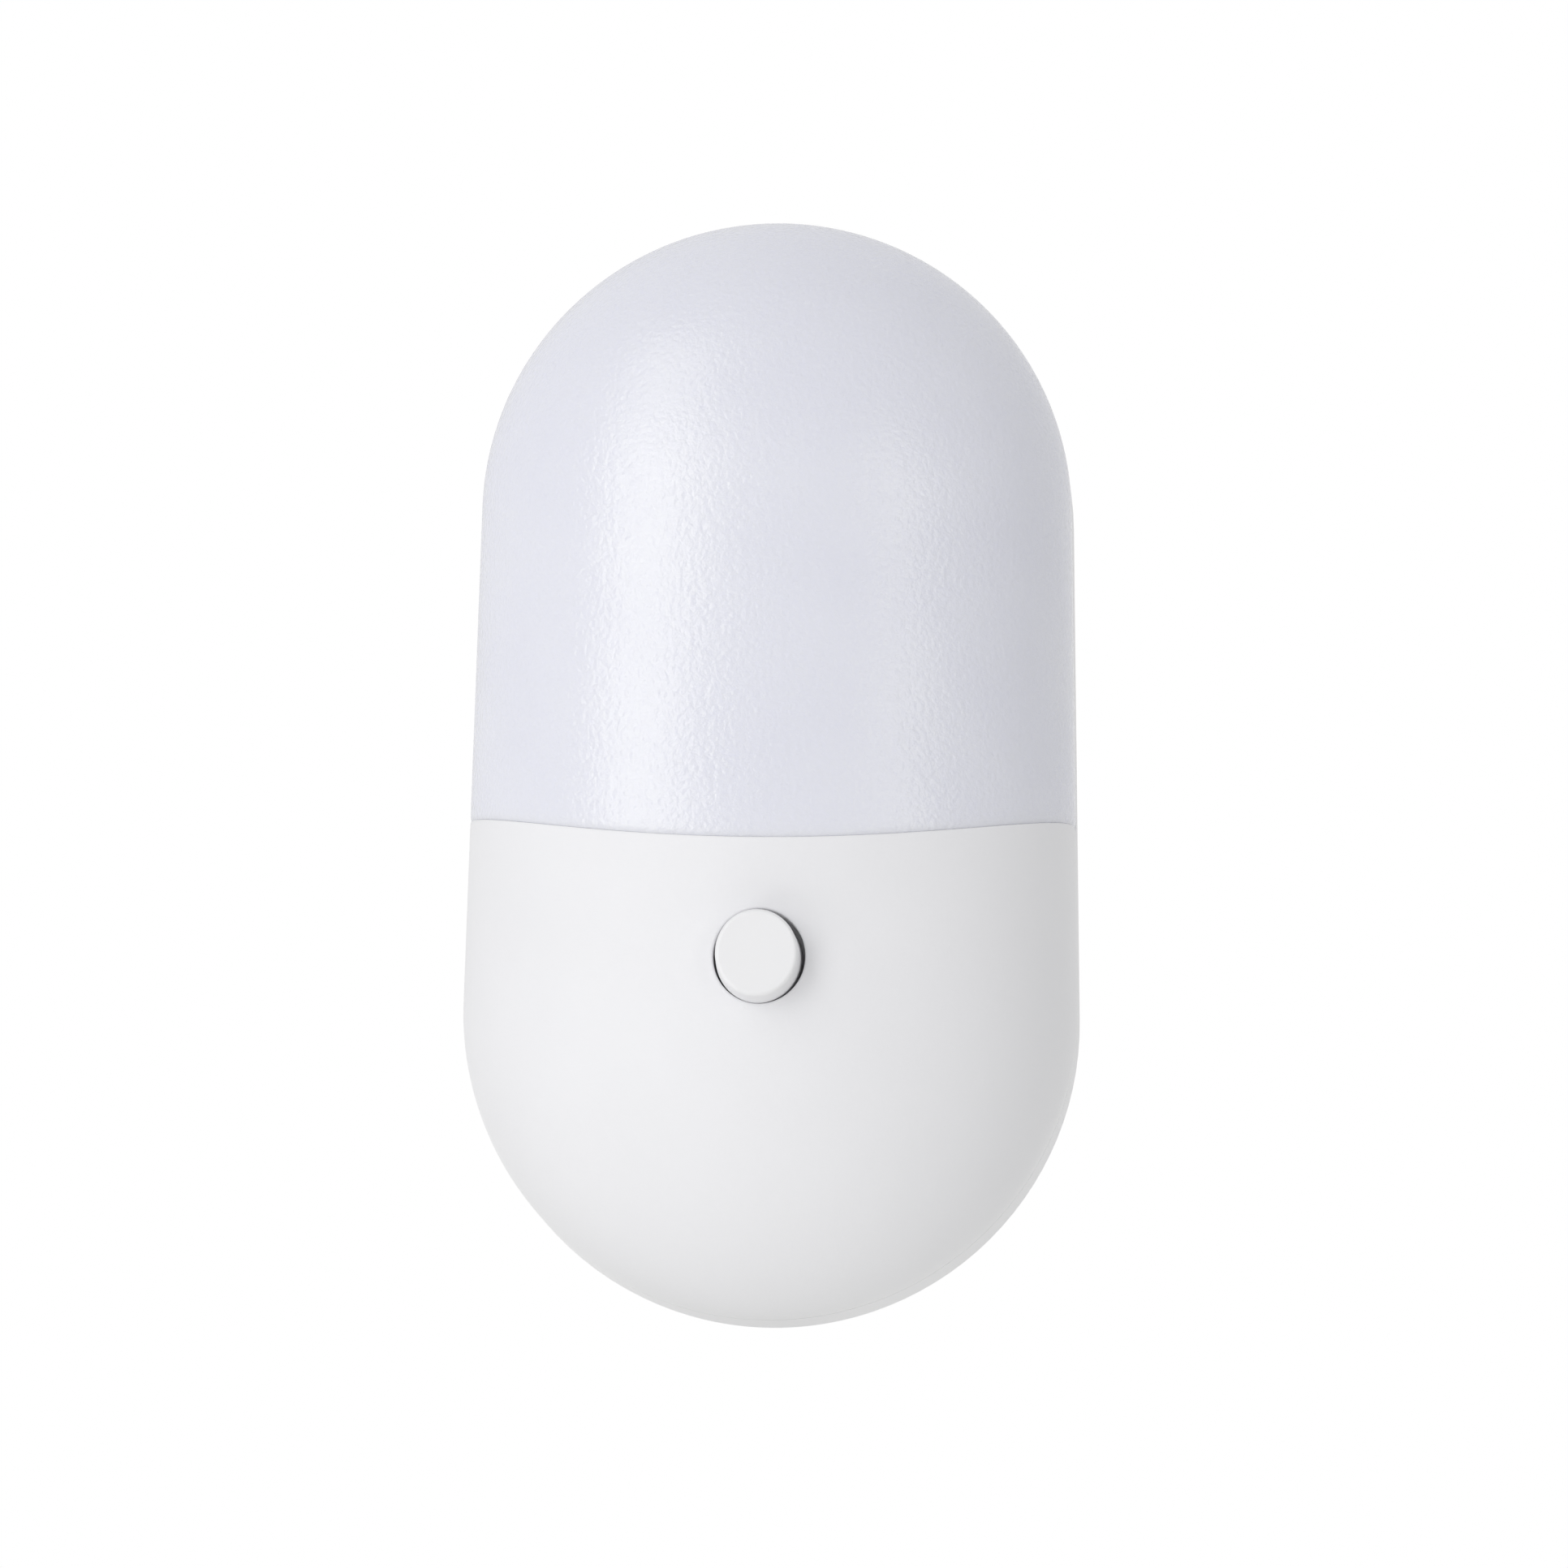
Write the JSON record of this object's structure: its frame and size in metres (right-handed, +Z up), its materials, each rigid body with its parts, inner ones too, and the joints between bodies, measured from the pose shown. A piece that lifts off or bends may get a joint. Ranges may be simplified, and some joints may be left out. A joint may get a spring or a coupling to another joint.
{
  "type": "plug in night light",
  "caption": "Pill-shaped plug-in night light with an opal domed diffuser above a white housing with a round push button, held in a wall socket by two flat blades.",
  "frame": {"origin": "on the flat back face, midway between the two plug blades", "axes": "+Y points into the wall along the blades, -Y is the front, +Z is up along the longest side, +X is to the right seen from the front"},
  "size_m": [0.061, 0.0525, 0.11],
  "materials": {
    "housing": "moulded ABS, fine matte texture",
    "cover": "moulded ABS, fine matte texture",
    "opal_diffuser": "frosted opal polycarbonate, spark-eroded grain",
    "button": "moulded ABS, satin",
    "black_plastic": "moulded nylon",
    "nickel_plate": "nickel-plated brass, bright",
    "spring_steel": "drawn wire",
    "tinned_copper": "tinned",
    "contact_copper": "rolled strip",
    "driver_laminate": "glass-epoxy laminate, green solder mask",
    "film_capacitor_box": "moulded box, yellow",
    "capacitor_sleeve": "shrunk PVC sleeve",
    "moulded_epoxy": "transfer-moulded epoxy",
    "resistor_coat": "cement coat, green",
    "bleed_coat": "lacquer, tan",
    "varistor_coat": "dipped epoxy, blue",
    "clamp_plastic": "moulded polycarbonate",
    "zinc_steel": "zinc-plated",
    "reflector_plastic": "moulded, high-white",
    "led_laminate": "aluminium laminate, white solder mask",
    "led_package": "moulded package",
    "led_phosphor": "silicone with phosphor",
    "live_insulation": "PVC insulation, black",
    "neutral_insulation": "PVC insulation, white",
    "positive_insulation": "PVC insulation, red",
    "negative_insulation": "PVC insulation, black",
    "neutral_plastic": "moulded acetal"
  },
  "bodies": {
    "case": {"back_cover": "cover", "front_housing": "housing", "diffuser": "opal_diffuser", "switch_case": "black_plastic", "switch_base": "black_plastic", "switch_terminals": "tinned_copper", "switch_spring": "spring_steel", "switch_latch": "spring_steel", "driver_board": "driver_laminate", "film_capacitor": "film_capacitor_box", "electrolytic_capacitor": "capacitor_sleeve", "bridge_rectifier": "moulded_epoxy", "driver_chip": "moulded_epoxy", "fusible_resistor": "resistor_coat", "bleed_resistors": "bleed_coat", "varistor": "varistor_coat", "plug_blade_left": "nickel_plate", "plug_blade_right": "nickel_plate", "blade_clamp": "clamp_plastic", "clamp_screws": "zinc_steel", "board_screws": "zinc_steel", "led_carrier": "reflector_plastic", "led_board": "led_laminate", "led_packages": "led_package", "led_phosphors": "led_phosphor", "led_screws": "zinc_steel", "case_screws": "zinc_steel", "live_wire": "live_insulation", "neutral_wire": "neutral_insulation", "led_wire_positive": "positive_insulation", "led_wire_negative": "negative_insulation"},
    "button": {"push_button": "button", "switch_plunger": "neutral_plastic", "switch_bridges": "contact_copper"}
  },
  "joints": [
    {"name": "button_press", "type": "slide", "parent": "case", "child": "button", "axis": [0, 1, 0], "range_m": [0, 0.0025], "stiffness_N_per_m": 800, "springref_m": -0.001, "deforming": ["switch_spring"]}
  ]
}
